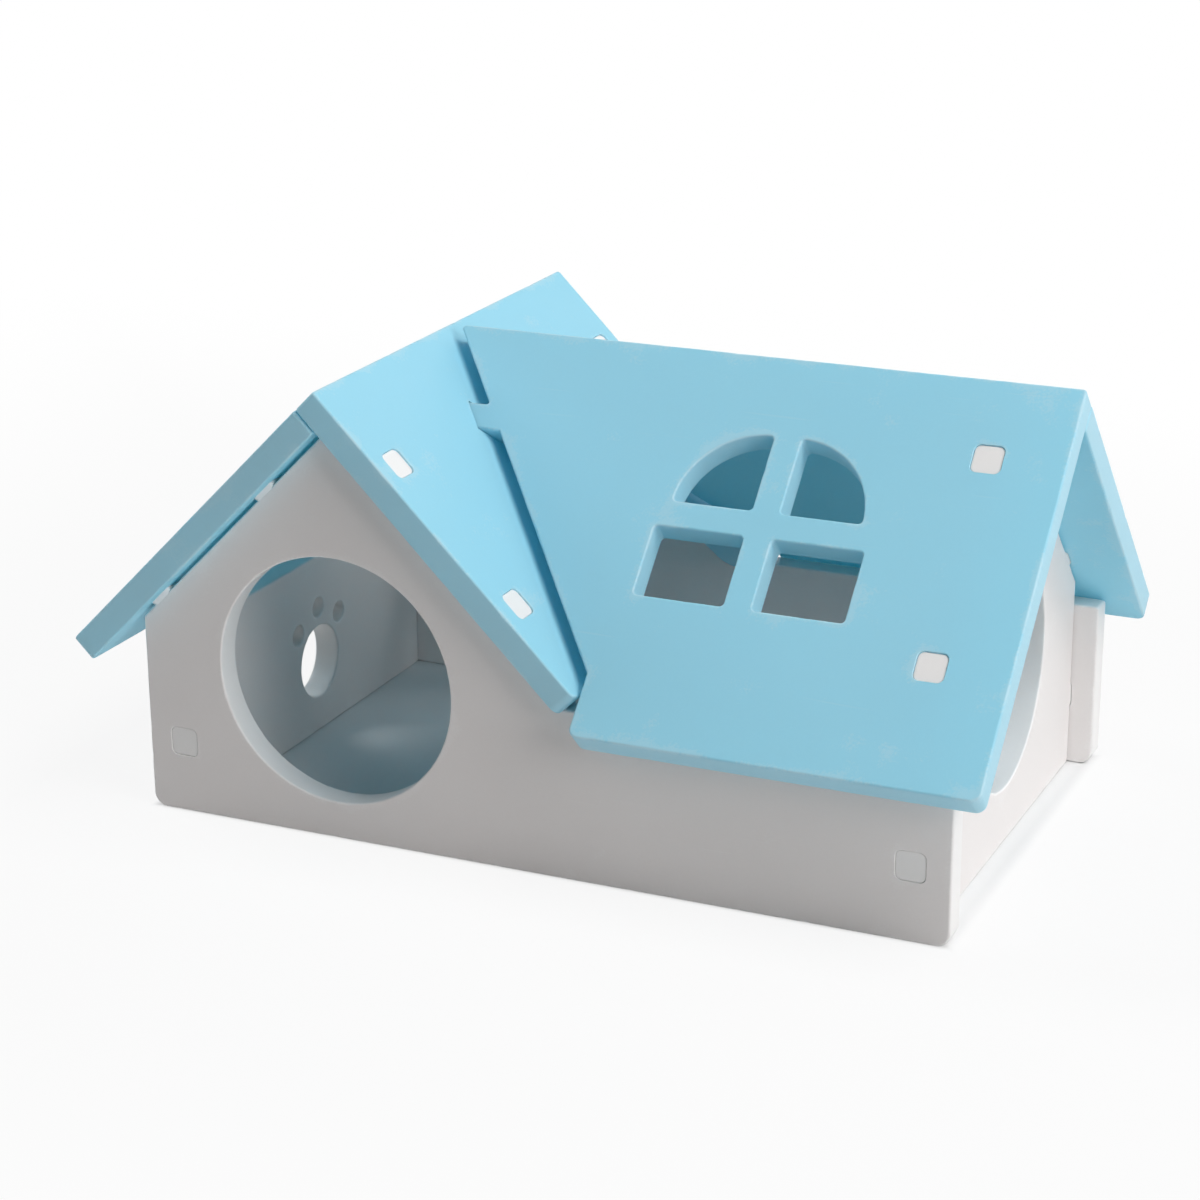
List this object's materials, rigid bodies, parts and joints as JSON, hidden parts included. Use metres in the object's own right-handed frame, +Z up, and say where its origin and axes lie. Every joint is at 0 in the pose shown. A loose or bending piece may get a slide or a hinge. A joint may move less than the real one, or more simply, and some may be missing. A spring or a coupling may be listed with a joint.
{
  "type": "hamster house",
  "caption": "Knock-down hamster house: white foam-board walls with round doors, crossing light-blue roofs, an arched window and tab-and-mortise joints.",
  "frame": {"origin": "on the ground under the middle of the plan of the roofs", "axes": "+X to the right along the front wall, +Y from the front wall to the back wall, +Z up"},
  "size_m": [0.1696, 0.106, 0.0828],
  "materials": {
    "wall_board": "white foamed sheet, fine matt skin",
    "roof_board": "light-blue foamed sheet, fine matt skin"
  },
  "bodies": {
    "root": {"front_wall": "wall_board", "back_wall": "wall_board", "left_wall": "wall_board", "right_wall": "wall_board", "gable_roof_left": "roof_board", "gable_roof_right": "roof_board", "main_roof_front": "roof_board", "main_roof_back": "roof_board"}
  },
  "joints": []
}
